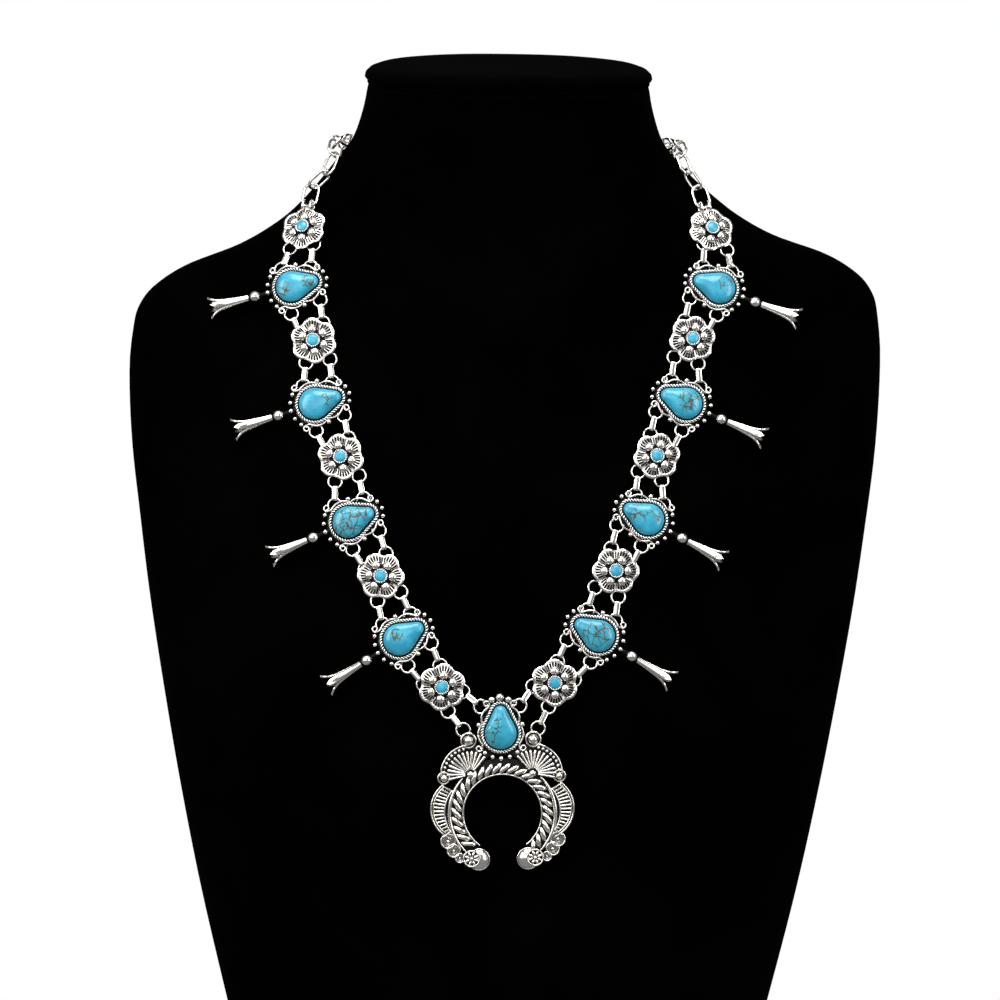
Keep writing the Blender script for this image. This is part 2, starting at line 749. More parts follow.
# %% Cap
# Share of the cap's thickness, and share of the neck's own outline
CAP_PROFILE = [[0, 0.93], [0, 0.975], [0.05, 0.996], [0.16, 1.006], [0.22, 0.999], [0.26, 0.999],
               [0.33, 1.012], [0.46, 1.024], [0.62, 1.020], [0.78, 0.998], [0.90, 0.955], [0.98, 0.88],
               [1.03, 0.76], [1.07, 0.6], [1.09, 0.4], [1.1, 0.2], [1.1, 0.05]]


def cap():
    piece = Piece()
    rows = []
    for share, grow in CAP_PROFILE:
        ring_points = oval_point(BUST_H, np.arange(BUST_AROUND) * 360 / BUST_AROUND)
        ring_points[:, :2] *= grow
        ring_points[:, 2] += top_rise(ring_points, BUST_H) + CAP_GAP + share * CAP_T
        rows.append(ring_points)
    piece.grid(rows)
    return piece


make(bust(), "neck_bust", "velvet")
cap_object = make(cap(), "neck_cap", "velvet")
print("bust and cap:", total["faces"], "triangles")

# %% [markdown]
# ## Pear stones
# A cabochon is a stone with a flat back and a domed, polished front. Its outline here is a pear: a large arc
# and a small one, joined by their common tangents, so that growing it evenly gives the bezel and the rope as
# well. The dome rises steeply at the edge and flattens in the middle.

# %% Pear outline
PEAR_L, PEAR_W, PEAR_TIP_R, PEAR_H = 18.4, 13.4, 2.8, 4.6
PEAR_BROAD_X = (PEAR_L - PEAR_W) / 2
PEAR_NARROW_X = PEAR_TIP_R - PEAR_L / 2
PEAR_TURN = 180 - math.degrees(math.acos((PEAR_W / 2 - PEAR_TIP_R) / (PEAR_BROAD_X - PEAR_NARROW_X)))
RING_R, RING_WIRE_R = 2.9, 0.42
PLATE_T, STONE_GAP, BEZEL_T, ROPE_W = 1.1, 0.1, 0.35, 1.3
PLATE_Z = -RING_WIRE_R - 0.12
PLATE_TOP = PLATE_Z + PLATE_T


def pear(grow, fine=1):
    """Outline of a pear that is this much larger all round, broad end towards +X."""
    broad = circle(PEAR_W / 2 + grow, 40 * fine, -PEAR_TURN, PEAR_TURN, (PEAR_BROAD_X, 0))
    narrow = circle(PEAR_TIP_R + grow, 18 * fine, PEAR_TURN, 360 - PEAR_TURN, (PEAR_NARROW_X, 0))
    share = np.linspace(0, 1, 10 * fine)[1:-1, None]
    return np.vstack([broad, broad[-1] + share * (narrow[0] - broad[-1]), narrow,
                      narrow[-1] + share * (broad[0] - narrow[-1])])


print("pear outline has", len(pear(0)), "points")

# %% Pear stones and their web
STONE_FOOT, STONE_WALL, DOME_POWER = 0.97, 0.3, 0.85
PEAR_GRAIN_STEP = np.array([7.3, 3.1, 1.7])
# Place in the pattern, and where the web shows: a middle on the stone and a reach for each patch.
STONE_GRAIN = {
    "left_1": (3, [(6.5, 0.5, 4.5), (-5.0, 0, 3.5)]), "left_2": (22, [(-3.4, 0, 3.4)]),
    "left_3": (14, [(3.5, 1.0, 8.5), (-3, -1, 5)]), "left_4": (31, [(2, -2, 3.5)]),
    "right_1": (47, [(4, 2, 4)]), "right_2": (58, [(3.0, 0.5, 6)]),
    "right_3": (66, [(4, 2, 3), (0, 0, 3), (-4, -1.5, 3)]), "right_4": (73, [(1, 0, 7)]),
    "naja": (89, [(2, -3.5, 5), (-2, -1, 3)])}


def web_share(points, places):
    """How strongly the web shows at each point: 1 at the middle of a place, 0 beyond its reach."""
    share = np.zeros(points.shape[:2])
    for x, y, reach in places:
        share = np.maximum(share, 1 - np.hypot(points[..., 0] - x, points[..., 1] - y) / reach)
    return share


def pear_stone(name, matrix):
    key = name.replace("_stone", "").replace("stone_", "")
    seed, web_places = STONE_GRAIN[key]
    piece = Piece()
    outline = pear(0)
    rows = [lift(outline * STONE_FOOT, PLATE_TOP), lift(outline, PLATE_TOP + STONE_GAP)]
    for a in np.radians(np.linspace(0, 86, 22)):
        dome = STONE_WALL + (0.99 - STONE_WALL) * math.sin(a) ** DOME_POWER
        rows.append(lift(outline * math.cos(a), PLATE_TOP + STONE_GAP + PEAR_H * dome))
    rows = np.array(rows)
    piece.grid(rows, patina=web_share(rows, web_places))
    places = np.concatenate(piece.points) + seed * PEAR_GRAIN_STEP
    return make(piece, name, "turquoise", matrix, places=places.astype(np.float32))


for hand, side in SIDES.items():
    for i in range(1, 5):
        pear_stone(f"stone_{hand}_{i}", setting_frame(side, i))
NAJA_STONE_Y = 36.5
upright = shift(0, NAJA_STONE_Y) @ turn(-90)
pear_stone("naja_stone", naja_frame @ upright)
print("with the stones", total["faces"], "triangles")

# %% [markdown]
# ## Roped settings
# Each stone sits in a thin bezel inside a rope of two twisted wires, on a blackened plate. Along both long
# sides runs a bracket of wire: two arches that meet at a granule, with both ends rolled into a curl. More
# granules stand on short posts round the ends, and four soldered rings join the piece to its neighbours. A
# curl is a spiral that shrinks as it turns, and smoothing the joined points rounds off where arch meets curl.

# %% Sizes of a setting
SCROLL_R, GRANULE_R = 0.42, 1.02
PLATE_RIM = 1.0
ROPE_EDGE = STONE_GAP + BEZEL_T + ROPE_W
SCROLL_Z = PLATE_TOP + 0.7
BROAD_REACH = PEAR_W / 2 + ROPE_EDGE + 2.2
NARROW_REACH = PEAR_TIP_R + ROPE_EDGE + 2.1
CUSP = (-1.2, 9.3)
SETTING_UP = [(5.2, 9.2), (-7.2, 6.8)]
SETTING_DOWN = [(5.4, -11.2), (-8.0, -8.4)]
# Each arch runs from the cusp to its curl: radius, points, first and last angle, and middle.
BROAD_ARCH, NARROW_ARCH = (6.0, 26, 134, 44, (2.9, 3.5)), (5.1, 22, 68, 148, (-3.7, 2.98))
BROAD_CURL, NARROW_CURL = ((8.8, 9.3), -112, 390, 1.55, 0.85), ((-9.9, 5.9), -14, -390, 1.65, 0.85)
CURL_POINTS = 34
# Blackened webs that carry the arches and curls: middle and radius
WEBS = [(7.8, 8.4, 1.0), (-8.9, 5.4, 1.0), (5.6, 8.2, 0.9), (-6.6, 6.4, 0.8), (2.2, 9.0, 0.8)]
BEZEL_SHOWN, ROPE_IN, ROPE_UP, ROPE_STRAND_R, ROPE_PITCH = 0.28, 0.82, 0.72, 0.42, 2.5
GRANULE_BAR = np.array([[-3, -0.6], [0, -0.6], [0.6, -0.4], [0.8, 0], [0.6, 0.4], [0, 0.6], [-3, 0.6]])
BROAD_ANGLES, NARROW_ANGLES = (-40, -20, 20, 40), (150, 180, 210)
BEAD_R, BEAD_REACH, BEAD_Z = 2.5, 18.9, 1.0
SOCKET_END = BEAD_REACH - BEAD_R - 1.1 - PEAR_L / 2 - ROPE_EDGE + 0.2


print("a setting reaches", round(PEAR_BROAD_X + BROAD_REACH + GRANULE_R, 1), "mm out from its middle")


# %% Side scrolls
def smooth_path(points, passes=3):
    points = np.asarray(points, float).copy()
    for _ in range(passes):
        points[1:-1] = 0.25 * points[:-2] + 0.5 * points[1:-1] + 0.25 * points[2:]
    return points


def curl(centre, start, turns, r_from, r_to):
    """A flat spiral round centre. It begins at an angle and closes in over so many degrees."""
    share = np.linspace(0, 1, CURL_POINTS)
    r = r_to + (r_from - r_to) * (1 - share) ** 1.3
    return polar(r, np.radians(start + turns * share), SCROLL_Z, centre)


def side_scroll():
    piece = Piece()
    for arch, spiral in ((BROAD_ARCH, BROAD_CURL), (NARROW_ARCH, NARROW_CURL)):
        end = curl(*spiral)
        path = smooth_path(resample(np.vstack([circle(*arch, SCROLL_Z), end]), 0.32)[0])
        taper = np.interp(np.linspace(0, 1, len(path)), [0, 0.15, 0.7, 1], [0.75, 1.05, 1.0, 0.8])
        tube(piece, path, SCROLL_R * taper)
        ball(piece, end[-1], 0.5, 0.9, 10)
    ball(piece, (*CUSP, SCROLL_Z + 0.25), GRANULE_R)
    lathe(piece, [[1.15, PLATE_Z], [1.15, SCROLL_Z - 0.2], [0.7, SCROLL_Z]], (*CUSP, 0), 12, patina=0.9)
    for x, y, r in WEBS:
        lathe(piece, [[r, PLATE_Z], [r, SCROLL_Z - 0.55], [r - 0.2, SCROLL_Z - 0.4]], (x, y, 0), 12, 1.0)
    return piece


print("a curl turns into", CURL_POINTS, "points; a side scroll has", side_scroll().count)


# %% Granules, rings and bezel
def end_granule(piece, x, reach, angle, r=GRANULE_R):
    sub = Piece()
    plate(sub, GRANULE_BAR, PLATE_Z, PLATE_TOP - 0.1, 0.15, patina=1.0)
    lathe(sub, [[0.8, PLATE_TOP - 0.3], [0.7, PLATE_TOP + 0.3]], (0, 0, 0), 12, patina=1.0)
    ball(sub, (0, 0, PLATE_TOP + 0.55 * r), r)
    piece.add(sub, shift(x, 0) @ turn(angle) @ shift(reach, 0))


def solder_ring(piece, place, r=RING_R, wire_r=RING_WIRE_R + 0.05):
    tube(piece, circle(r, 40, centre=place), wire_r, 8, closed=True)


def roped_bezel():
    """Plate, bezel and rope of one pear stone, with both side scrolls."""
    piece = Piece()
    plate(piece, pear(ROPE_EDGE + PLATE_RIM)[:, :2], PLATE_Z, PLATE_TOP, 0.2, patina=1.0)
    bezel_edge = STONE_GAP + BEZEL_SHOWN
    strip(piece, pear(STONE_GAP), pear(bezel_edge), PLATE_TOP - 0.1, PLATE_TOP + 1.2, patina=1.0)
    rope_line = lift(pear(bezel_edge + ROPE_IN), PLATE_TOP + ROPE_UP)
    rope(piece, rope_line, ROPE_STRAND_R, ROPE_PITCH, steps=12)
    scroll = side_scroll()
    piece.add(scroll)
    piece.add(scroll, mirror(y=-1))
    return piece


print("the roped bezel has", roped_bezel().count, "points")


# %% Whole settings
def setting(side, _):
    piece = Piece()
    piece.add(roped_bezel())
    for angle in BROAD_ANGLES:
        end_granule(piece, PEAR_BROAD_X, BROAD_REACH, angle)
    for angle in NARROW_ANGLES:
        end_granule(piece, PEAR_NARROW_X, NARROW_REACH, angle)
    for x, y in SETTING_UP + SETTING_DOWN:
        solder_ring(piece, (x, side * y))
    socket = Piece()
    lathe(socket, [[0.8, 0], [1.0, 0.3], [1.0, SOCKET_END - 0.6], [0.9, SOCKET_END]], columns=16, patina=1.0)
    piece.add(socket, shift(PEAR_L / 2 + ROPE_EDGE - 0.2, 0, BEAD_Z) @ turn(90, "y"))
    ball(piece, (PEAR_BROAD_X + BROAD_REACH, 0, BEAD_Z + 1.1), GRANULE_R)
    return piece


make_series(setting, "setting", 4, setting_frame)

# %% [markdown]
# ## Blossoms
# The blossoms that give the necklace its name are trumpets behind a round bead. The tube widens, splits
# into four pointed petals half way along, and the petals curl outwards at their tips. Each petal and its
# quarter of the tube is one closed grid: an outer and an inner skin, whose span shrinks to a point. The
# quarters are drawn in a little where they meet, which leaves the groove that the real tube shows.

# %% A petal
PETALS = 4
TRUMPET_L, TRUMPET_R, PETAL_R, TRUMPET_T = 20.3, 1.4, 5.1, 0.5
TRUMPET_SHARES = [0, 0.25, 0.5, 0.7, 0.86, 0.94, 1]
TRUMPET_GROW = [0, 0.09, 0.23, 0.37, 0.62, 0.80, 1]
PETAL_FROM = 0.5
FRONT_PETAL, FRONT_SHARE = 2, 0.86
TRUMPET_START = BEAD_R + 0.3
TIP_HALF = math.radians(2.5)
GROOVE_DEPTH, GROOVE_POWER, TIP_DROOP = 0.10, 8, 0.25
INSIDE_DARK = 0.6


def petal(piece, k):
    along = np.linspace(0, 1, 34)
    across = np.linspace(-1, 1, 17)
    free = np.clip((along - PETAL_FROM) / (1 - PETAL_FROM), 0, 1)
    half = np.maximum(np.radians(180 / PETALS) * (1 - free**3), TIP_HALF)
    radius = TRUMPET_R + (PETAL_R - TRUMPET_R) * np.interp(along, TRUMPET_SHARES, TRUMPET_GROW)
    radius = smooth_path(np.column_stack([radius] * 3), 6)[:, 0]
    reach = FRONT_SHARE if k == FRONT_PETAL else 1.0
    run = np.where(along < PETAL_FROM, along, PETAL_FROM + (along - PETAL_FROM) * reach)
    height = TRUMPET_START + (TRUMPET_L - TRUMPET_START) * run
    groove = 1 - GROOVE_DEPTH * np.abs(across) ** GROOVE_POWER
    rows = []
    for u, h, r, z, f in zip(along, half, radius, height, free):
        wall = TRUMPET_T * (1 - 0.35 * f) if u > 0.12 else r - 0.2
        angle = np.radians(k * 360 / PETALS) + h * across
        outer = r * groove - TIP_DROOP * f * (across**2)
        inner = np.maximum(outer - wall, 0.12)
        rows.append(polar(np.concatenate([outer, inner[::-1]]), np.concatenate([angle, angle[::-1]]), z))
    dark = np.zeros((len(along), 2 * len(across)))
    dark[:, len(across):] = INSIDE_DARK
    piece.grid(rows, patina=dark)


print("a petal parts from the next", round(TRUMPET_START + (TRUMPET_L - TRUMPET_START) * PETAL_FROM, 1),
      "mm beyond the bead's middle")


# %% Whole blossoms
def blossom(*_):
    sub = Piece()
    ball(sub, (0, 0, 0), BEAD_R, columns=36)
    peg = [[0.65, -4.2], [0.8, -BEAD_R - 0.35], [1.2, -BEAD_R - 0.1], [1.2, -BEAD_R + 0.3]]
    collar = [[1.1, BEAD_R - 0.35], [1.5, BEAD_R - 0.1], [1.5, BEAD_R + 0.25], [1.2, BEAD_R + 0.6]]
    lathe(sub, peg, columns=20, patina=1.0)
    lathe(sub, collar, columns=24, patina=1.0)
    for k in range(PETALS):
        petal(sub, k)
    piece = Piece()
    piece.add(sub, shift(BEAD_REACH, 0, BEAD_Z) @ turn(90, "y"))
    return piece


make_series(blossom, "blossom", 4, setting_frame, crisp=math.radians(40))

# %% [markdown]
# ## Flowers
# Each flower is one stamped sheet: six cupped lobes with a smooth rim, short flutes just inside it, six
# domes, and a beaded bezel round a small stone. The sheet is a height field in polar form: the distance from
# the middle and the angle give the height, so lobes, flutes and valleys are each one smooth function.

# %% Flower sheet
LINK_REACH, LINK_PLAY, LINK_T = 4.4, 0.3, 0.55
LINK_HALF = RING_WIRE_R + LINK_PLAY / 2 + LINK_T
FLOWER_R, LOBE_DEPTH, FLOWER_T, FLUTES, LOBES = 10.0, 1.2, 1.2, 7, 6
FLOWER_Z = LINK_HALF + 0.5
FLOWER_TOP = FLOWER_Z + FLOWER_T
ROUND_STONE_R, DOME_R, DOME_RING_R, POST_R = 2.35, 1.92, 5.0, 4.6
DOME_FLAT, DOME_LIFT = 0.75, 0.1
ROUND_BEZEL_R = ROUND_STONE_R + STONE_GAP + BEZEL_T
BEZEL_BEADS = 24
RIM_DROOP, SLOT_DEPTH, VALLEY_DEPTH = 0.35, 0.55, 0.25
# Shares of the way from the middle to the rim for the sheet's front, and with heights for its back
FRONT_SHARES = (0.22, 0.40, 0.50, 0.55, 0.58, 0.61, 0.64, 0.70,
                0.77, 0.83, 0.86, 0.89, 0.93, 0.965, 0.99, 1.0)
BACK_ROWS = ((0.995, FLOWER_Z + 0.35), (0.96, FLOWER_Z + 0.1), (0.6, FLOWER_Z), (0.2, FLOWER_Z))


def flower_sheet(piece):
    angle = np.arange(LOBES * FLUTES * 8) * 2 * np.pi / (LOBES * FLUTES * 8)
    edge = FLOWER_R - LOBE_DEPTH * np.abs(np.sin(LOBES / 2 * angle)) ** 3
    slot_wave = 0.5 - 0.5 * np.cos(LOBES * FLUTES * angle)
    valley_wave = np.abs(np.sin(LOBES / 2 * angle)) ** 14
    rows, dark = [], []
    for share in FRONT_SHARES:
        ribbed = rise_between(share, 0.56, 0.64) * (1 - rise_between(share, 0.84, 0.90))
        slot = rise_between(slot_wave, 0.28, 0.55) * ribbed
        valley = valley_wave * rise_between(share, 0.35, 0.6)
        z = (FLOWER_TOP - 0.2 - RIM_DROOP * rise_between(share, 0.45, 1.0) - SLOT_DEPTH * slot
             - VALLEY_DEPTH * valley - 0.25 * rise_between(share, 0.96, 1.0))
        rows.append(polar(share * edge, angle, z))
        inner_dark = 1.0 - rise_between(share, 0.54, 0.62)
        dark.append(np.maximum(np.maximum(slot, 0.5 * valley), inner_dark))
    for share, z in BACK_ROWS:
        rows.append(polar(share * edge, angle, z))
        dark.append(np.full(len(angle), 0.3))
    piece.grid(rows, patina=np.array(dark))


print("a flower has", LOBES * FLUTES, "flutes")


# %% Domes, small bezel and post
def flower_domes(piece):
    for dome in circle(DOME_RING_R, LOBES, z=FLOWER_TOP + DOME_LIFT):
        ball(piece, dome, DOME_R, DOME_FLAT, 24)
    lathe(piece, [[ROUND_BEZEL_R + 0.25, FLOWER_TOP - 0.4], [ROUND_BEZEL_R + 0.2, FLOWER_TOP + 0.9],
                  [ROUND_BEZEL_R, FLOWER_TOP + 1.1]], columns=32, patina=1.0)
    strip(piece, circle(ROUND_STONE_R + STONE_GAP, 40), circle(ROUND_BEZEL_R - 0.1, 40),
          FLOWER_TOP, FLOWER_TOP + 1.6)
    for bead in circle(ROUND_BEZEL_R + 0.08, BEZEL_BEADS, z=FLOWER_TOP + 1.45):
        ball(piece, bead, 0.32, 0.9, 8)
    lathe(piece, [[POST_R - 0.3, PLATE_Z], [POST_R, PLATE_Z + 0.3], [POST_R, FLOWER_Z + 0.2]], patina=0.9)


flower_face = Piece()
flower_sheet(flower_face)
flower_domes(flower_face)
print("a flower's face has", len(flower_face.faces), "faces")

# %% [markdown]
# ## Rings, bails and links between the pieces
# Soldered rings stick out from behind each flower, and a flat link joins each to a ring of the next piece.
# The link's length is fixed, so a flower's ring is drawn to the place that lies one link from its mate. The
# same rule worked out the solids, and repeating it keeps link and ring together. The top flower also has
# two stout upright rings, the bails, that carry the chain.

# %% Flower rings
FLOWER_UP, FLOWER_DOWN = [(5.1, 3.3), (-5.1, 6.4)], [(5.2, -8.6), (-5.2, -8.9)]
NAJA_RINGS = [(15.8, 35.6), (8.2, 45.3)]
BAIL_X, BAIL_Y, BAIL_Z = 1.75, FLOWER_R + 0.5, FLOWER_Z + 0.2
BAIL_R, BAIL_WIRE_R, BAIL_TURN = 2.3, 0.65, 2.0
# Each flower was soldered at its own angle, in degrees.
FLOWER_SPIN = {1: [10, 30, 30, 24, 16], -1: [32, 27, 27, 34, 40]}


def mate_frame(side, i, up):
    if up:
        return setting_frame(side, i - 1)
    return naja_frame if i == 5 else setting_frame(side, i)


def mate(side, i, up, k):
    """Middle of the ring that a flower's ring is linked to."""
    if not up and i == 5:
        return to_world(naja_frame, [side * NAJA_RINGS[k][0], NAJA_RINGS[k][1], 0])
    x, y = (SETTING_DOWN if up else SETTING_UP)[k]
    return to_world(mate_frame(side, i, up), [x, side * y, 0])


def near_wire(centre, out, towards):
    return centre + RING_R * unit(flat_part(towards - centre, out))


def flower_ring(side, i, up, k):
    m = flower_frame(side, i)
    out, middle = out_of(m), m[:3, 3]
    x, y = (FLOWER_UP if up else FLOWER_DOWN)[k]
    aim = to_world(m, [x, side * y, 0])
    start = near_wire(mate(side, i, up, k), out_of(mate_frame(side, i, up)), aim)
    return middle + flat_part(start + (LINK_REACH + RING_R) * unit(aim - start) - middle, out)


def joints_of(side):
    """Each flower's ring places: flower number, upwards or not, outer or inner."""
    return [(i, up, k) for i in range(1, 6) for up in ((False,) if i == 1 else (False, True)) for k in (0, 1)]


print("there are", sum(len(joints_of(side)) for side in SIDES.values()), "linked pairs of rings")


# %% Whole flowers
def flower(side, number):
    piece = Piece()
    piece.add(flower_face, turn(FLOWER_SPIN[side][number - 1]))
    m = flower_frame(side, number)
    for i, up, k in joints_of(side):
        if i == number:
            place = (flower_ring(side, i, up, k) - m[:3, 3]) @ m[:3, :3]
            solder_ring(piece, place[:2])
            reach = max(np.linalg.norm(place) - RING_R, POST_R) + 0.2
            bar = Piece()
            plate(bar, np.array([[POST_R - 1, -0.5], [reach, -0.5], [reach, 0.5], [POST_R - 1, 0.5]]),
                  PLATE_Z, PLATE_Z + 1.0, 0.1, patina=0.8)
            piece.add(bar, turn(math.degrees(math.atan2(place[1], place[0]))))
    if number == 1:
        bail = Piece()
        for x in (-BAIL_X, BAIL_X):
            ring_points = circle(BAIL_R, 40)[:, [2, 0, 1]] + [x, BAIL_Y, BAIL_Z]
            tube(bail, ring_points, BAIL_WIRE_R, 12, closed=True, up=np.array([1.0, 0, 0]))
        piece.add(bail, turn(side * BAIL_TURN) @ mirror(y=side))
    return piece


make_series(flower, "flower", 5, flower_frame)

# %% [markdown]
# ## Small round stones
# The flowers' stones are plain blue cabochons without a web. Five of them make one node on each side, so
# they are one object here too, and each takes its own place in the pattern of blues.

# %% Round stones
NO_WEB = -1.0
ROUND_GRAIN = {"left": (5, 17, 29, 41, 53), "right": (11, 23, 37, 43, 59)}
ROUND_GRAIN_STEP = np.array([9.1, 2.3, 4.9])


def round_stones(hand, side):
    piece, places = Piece(), []
    base = FLOWER_TOP + 0.2 + STONE_GAP
    crown = math.sqrt(5) * ROUND_STONE_R - 2 * ROUND_STONE_R
    for i, seed in enumerate(ROUND_GRAIN[hand], 1):
        one = Piece()
        profile = [[0.95 * ROUND_STONE_R, base], [ROUND_STONE_R, base + 0.15], [ROUND_STONE_R, base + 1.2]]
        profile += [[ROUND_STONE_R * math.cos(a), base + 1.2 + (0.2 + crown) * math.sin(a)]
                    for a in np.radians(np.linspace(12, 84, 8))]
        lathe(one, profile, columns=32, patina=NO_WEB)
        places.append(np.concatenate(one.points) + seed * ROUND_GRAIN_STEP)
        piece.add(one, flower_frame(side, i))
    return make(piece, f"flower_stones_{hand}", "turquoise", places=np.concatenate(places).astype(np.float32))


for hand, side in SIDES.items():
    round_stones(hand, side)
print("with the round stones", total["faces"], "triangles")

# %% [markdown]
# ## Flat links
# Each link is a strip of silver sheet bent into a long ring that stands on edge, so from the front it shows
# as a bright bar with a facet along it. The strip's section is swept round the long ring.

# %% Flat links
LINK_LONG = LINK_REACH / 2 + RING_WIRE_R + LINK_PLAY + LINK_T
LINK_SECTION = [(-1.05, 0.05), (-0.75, 0.22), (0, 0.28), (0.75, 0.22), (1.05, 0.05), (1.05, -0.15),
                (0.8, -0.27), (-0.8, -0.27), (-1.05, -0.15)]


def long_ring(half_l, half_w, steps=12):
    """A closed path with two straight sides, long way along X."""
    flat = half_l - half_w
    return np.vstack([circle(half_w, steps, -90, 90, (flat, 0)), circle(half_w, steps, 90, 270, (-flat, 0))])


def flat_link():
    piece = Piece()
    path = resample(long_ring(LINK_LONG - LINK_T / 2, LINK_HALF - LINK_T / 2), 0.35, closed=True)[0]
    path = path[:, [0, 2, 1]]
    _, across, _ = ways(path, True, np.array([0.0, 1.0, 0.0]))
    rows = [path + t * across * -1 + w * np.array([0.0, 1.0, 0.0]) for w, t in LINK_SECTION]
    piece.grid(np.stack(rows), along=True)
    return piece


def links(side):
    piece, one = Piece(), flat_link()
    for i, up, k in joints_of(side):
        own, other = flower_ring(side, i, up, k), mate(side, i, up, k)
        own_out, other_out = out_of(flower_frame(side, i)), out_of(mate_frame(side, i, up))
        a, b = near_wire(own, own_out, other), near_wire(other, other_out, own)
        piece.add(one, way_frame((a + b) / 2, b - a, own_out + other_out))
    return piece


for hand, side in SIDES.items():
    make(links(side), f"links_{hand}", "antique_silver", crisp=math.radians(32))
print("with the links", total["faces"], "triangles")

# %% [markdown]
# ## Chain and clasp
# Oval wire links climb from the bails round the neck to a plain barrel clasp at the nape. Every second link
# is turned by a quarter, as in any real chain. The way follows the neck at a fixed height above the velvet,
# and each link spans one even step of it.

# %% The chain's way
CHAIN_L, CHAIN_W, CHAIN_WIRE_R, CHAIN_PLAY, CHAIN_LIFT = 12.0, 7.9, 0.6, 0.4, 4.4
CLASP_L, CLASP_R, CLASP_RING_R = 11.0, 2.4, 2.0
CLASP_RING_X = CLASP_L / 2 - 1.2
CHAIN_ROUTE = np.array([[-24, 376.5], [-18, 384], [-6, 389], [12, 390.5], [36, 389.5], [62, 388], [90, 387]])
ROUTE_STEPS = 6
CHAIN_STEP = CHAIN_L - 4 * CHAIN_WIRE_R - CHAIN_PLAY
FIRST_LINK_Y = BAIL_Y + 0.2 + CHAIN_L / 2 - CHAIN_WIRE_R


def neck_normal(z, angle):
    step = 3
    side_way = oval_point(z, angle + step) - oval_point(z, angle - step)
    return unit(np.cross(side_way, oval_point(z + step, angle) - oval_point(z - step, angle)))


def neck_point(side, angle, z):
    flip = np.array([side, 1, 1])
    return sheared(oval_point(z, angle) * flip) + CHAIN_LIFT * neck_normal(z, angle) * flip


def chain_frames(side):
    flip = np.array([side, 1, 1])
    m = flower_frame(side, 1)
    first = [to_world(m @ turn(side * BAIL_TURN), [0, side * (FIRST_LINK_Y + s * CHAIN_STEP / 2), BAIL_Z])
             for s in (-1, 1)]
    shares = np.arange((len(CHAIN_ROUTE) - 1) * ROUTE_STEPS + 1) / ROUTE_STEPS
    route = [[np.interp(u, range(len(CHAIN_ROUTE)), CHAIN_ROUTE[:, c]) for c in (0, 1)] for u in shares]
    points = np.array(first + [neck_point(side, a, z) for a, z in route])
    normals = np.array([out_of(m)] * 2 + [neck_normal(z, a) * flip for a, z in route])
    run = np.concatenate([[0], np.cumsum(np.linalg.norm(np.diff(points, axis=0), axis=1))])
    length = run[-1] - (CLASP_RING_X + CLASP_RING_R - CHAIN_WIRE_R - CHAIN_PLAY / 2)
    count = 2 * math.ceil(length / CHAIN_STEP / 2)

    def along(table, s):
        return np.array([np.interp(s, run, table[:, c]) for c in range(3)])

    frames = []
    for k in range(count):
        a, b = along(points, k * length / count), along(points, (k + 1) * length / count)
        frames.append(way_frame((a + b) / 2, b - a, along(normals, (k + 0.5) * length / count)))
    return frames


print(len(chain_frames(1)), "chain links on the right,", len(chain_frames(-1)), "on the left")


# %% Chain and clasp
def chain(side):
    piece, one = Piece(), Piece()
    middle_line = long_ring(CHAIN_L / 2 - CHAIN_WIRE_R, CHAIN_W / 2 - CHAIN_WIRE_R, 20)
    tube(one, resample(middle_line, 0.6, closed=True)[0], CHAIN_WIRE_R, 10, closed=True)
    for k, m in enumerate(chain_frames(side)):
        piece.add(one, m @ turn(90 * (k % 2), "x"))
    return piece


def clasp():
    piece = Piece()
    half = CLASP_RING_X - CLASP_RING_R + CHAIN_WIRE_R / 2
    lathe(piece, [[1.2, -half], [CLASP_R - 0.3, -half + 0.1], [CLASP_R, -half + 0.5], [CLASP_R, -0.5],
                  [CLASP_R - 0.25, -0.3], [CLASP_R - 0.25, 0.3], [CLASP_R, 0.5], [CLASP_R, half - 0.5],
                  [CLASP_R - 0.3, half - 0.1], [1.2, half]], patina=[0, 0, 0, 0, 1, 1, 0, 0, 0, 0])
    for s in (-1, 1):
        ring_points = circle(CLASP_RING_R, 36)[:, [0, 2, 1]] + [0, 0, s * CLASP_RING_X]
        tube(piece, ring_points, CHAIN_WIRE_R, 10, closed=True, up=np.array([0.0, 1.0, 0]))
    return piece


for hand, side in SIDES.items():
    make(chain(side), f"chain_{hand}", "antique_silver")
make(clasp(), "clasp", "antique_silver", shift(*neck_point(1, 90, CHAIN_ROUTE[-1][1])) @ turn(90, "y"))
print("with the chain", total["faces"], "triangles")

# %% [markdown]
# ## The naja
# The crescent pendant is one casting, built up from soldered parts: a rope band round the opening, slotted
# crescents outside it, two fans of rays, balls on round lobes, and a dome, a rosette and scallops at each
# tip, with the same roped stone on top. Its right half is drawn once and mirrored. The floor of every part
# is blackened, and the wires, rays and balls stand on it.

# %% The naja's band
NAJA_R, NAJA_T, NAJA_GAP = 16.3, 1.3, 35.0
NAJA_TOP = PLATE_Z + NAJA_T
WIRE_Z = NAJA_TOP + 0.15
BAND_R, BAND_HALF, RIDGE_R = NAJA_R + 2.9, 1.95, NAJA_R + 6.1
STRAND_STEP, STRAND_SLANT = 10.4, math.radians(48)
STRAND_ANGLES = np.arange(NAJA_GAP - 84, 266 - NAJA_GAP, STRAND_STEP)
RIM_MIDDLE, RIM_R = np.array([NAJA_R + 0.5, 2.0]), 13.3
SLOT_MIDDLE, SLOT_R = np.array([NAJA_R - 6.2, 0.6]), 14.4
RIB_MIDDLE, RIB_ANGLES = np.array([NAJA_R - 8.3, 1.0]), np.arange(-31, 36, 4.6)
CRESCENT_ENDS = [(21.1, 9.9), (25.3, 12.3)], [(22.2, -7.3), (25.0, -9.4)]


